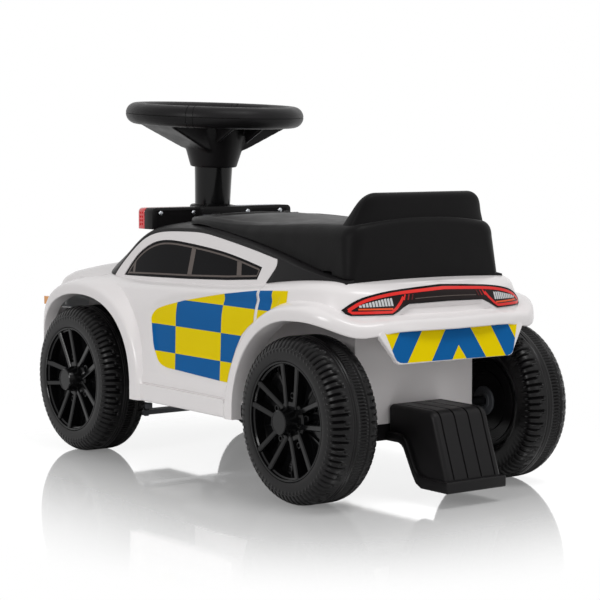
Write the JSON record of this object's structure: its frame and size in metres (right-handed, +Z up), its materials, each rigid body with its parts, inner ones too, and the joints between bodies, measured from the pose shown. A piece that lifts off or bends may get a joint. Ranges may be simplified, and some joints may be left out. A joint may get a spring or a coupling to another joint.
{
  "type": "ride-on car",
  "caption": "Foot-to-floor toddler ride-on car in police colours, with a steering wheel that turns the front wheels and a tipping seat lid over a toy bin.",
  "frame": {"origin": "floor level, under the middle of the car's length and width", "axes": "+X forward along the car, +Y to the driver's left, +Z up"},
  "size_m": [0.63, 0.31, 0.3854],
  "materials": {
    "white_shell": "moulded, glossy white",
    "tail_lamp": "glossy red and smoked",
    "clear_lamp": "glossy clear",
    "gloss_black": "glossy black",
    "window": "glossy near-black",
    "satin_black": "satin black",
    "grained_black": "fine leather grain",
    "steel": "zinc plated",
    "red_lens": "glossy red",
    "blue_lens": "glossy blue",
    "tyre_plastic": "satin black, moulded tread",
    "bush_plastic": "grey"
  },
  "bodies": {
    "body": {"front_body": "white_shell", "rear_body": "white_shell", "left_side_panel": "white_shell", "right_side_panel": "white_shell", "tail_lamp": "tail_lamp", "left_headlamp": "clear_lamp", "right_headlamp": "clear_lamp", "grille": "gloss_black", "left_window": "window", "right_window": "window", "roof_panel": "satin_black", "seat_hinge_pin": "steel", "light_bar_housing": "satin_black", "left_light_lens": "red_lens", "right_light_lens": "blue_lens", "column_collar": "satin_black", "chassis_tray": "satin_black", "storage_tub": "white_shell", "anti_tip_foot": "satin_black", "rear_axle": "steel", "rear_left_axle_nut": "steel", "rear_right_axle_nut": "steel"},
    "seat_lid": {"seat": "grained_black"},
    "steering": {"steering_column": "gloss_black", "steering_wheel_lower": "satin_black", "steering_wheel_upper": "satin_black", "steering_rod": "steel"},
    "horn": {"horn_button": "gloss_black"},
    "left_steer": {"left_knuckle": "steel", "front_left_axle_nut": "steel"},
    "right_steer": {"right_knuckle": "steel", "front_right_axle_nut": "steel"},
    "track_link": {"tie_rod": "satin_black"},
    "front_left_wheel": {"front_left_tyre": "tyre_plastic", "front_left_rim": "gloss_black", "front_left_hub_cap": "gloss_black", "front_left_wheel_bush": "bush_plastic"},
    "front_right_wheel": {"front_right_tyre": "tyre_plastic", "front_right_rim": "gloss_black", "front_right_hub_cap": "gloss_black", "front_right_wheel_bush": "bush_plastic"},
    "rear_left_wheel": {"rear_left_tyre": "tyre_plastic", "rear_left_rim": "gloss_black", "rear_left_hub_cap": "gloss_black", "rear_left_wheel_bush": "bush_plastic"},
    "rear_right_wheel": {"rear_right_tyre": "tyre_plastic", "rear_right_rim": "gloss_black", "rear_right_hub_cap": "gloss_black", "rear_right_wheel_bush": "bush_plastic"}
  },
  "joints": [
    {"name": "steering_turn", "type": "hinge", "parent": "body", "child": "steering", "pos_m": [0.1227, 0, 0.3693], "axis": [-0.0523, 0, 0.9986], "range_deg": [-40, 40]},
    {"name": "horn_press", "type": "slide", "parent": "steering", "child": "horn", "axis": [0.0523, 0, -0.9986], "range_m": [0, 0.003], "stiffness_N_per_m": 400},
    {"name": "left_kingpin", "type": "hinge", "parent": "body", "child": "left_steer", "pos_m": [0.19, 0.072, 0.08], "axis": [0, 0, 1], "range_deg": [-21.2, 21.2]},
    {"name": "right_kingpin", "type": "hinge", "parent": "body", "child": "right_steer", "pos_m": [0.19, -0.072, 0.08], "axis": [0, 0, 1], "range_deg": [-21.2, 21.2]},
    {"name": "track_slide", "type": "slide", "parent": "body", "child": "track_link", "axis": [0, 1, 0], "range_m": [-0.013, 0.013]},
    {"name": "front_left_roll", "type": "hinge", "parent": "left_steer", "child": "front_left_wheel", "pos_m": [0.19, 0.121, 0.08], "axis": [0, 1, 0], "continuous": true},
    {"name": "front_right_roll", "type": "hinge", "parent": "right_steer", "child": "front_right_wheel", "pos_m": [0.19, -0.121, 0.08], "axis": [0, 1, 0], "continuous": true},
    {"name": "rear_left_roll", "type": "hinge", "parent": "body", "child": "rear_left_wheel", "pos_m": [-0.21, 0.121, 0.08], "axis": [0, 1, 0], "continuous": true},
    {"name": "rear_right_roll", "type": "hinge", "parent": "body", "child": "rear_right_wheel", "pos_m": [-0.21, -0.121, 0.08], "axis": [0, 1, 0], "continuous": true},
    {"name": "seat_tip", "type": "hinge", "parent": "body", "child": "seat_lid", "pos_m": [0.0525, 0, 0.2612], "axis": [0, 1, 0], "range_deg": [0, 60]}
  ],
  "couplings": [
    {"joint": "left_kingpin", "follows": "steering_turn", "ratio": 0.52306},
    {"joint": "right_kingpin", "follows": "steering_turn", "ratio": 0.52306},
    {"joint": "track_slide", "follows": "steering_turn", "m_per_rad": -0.018415}
  ]
}
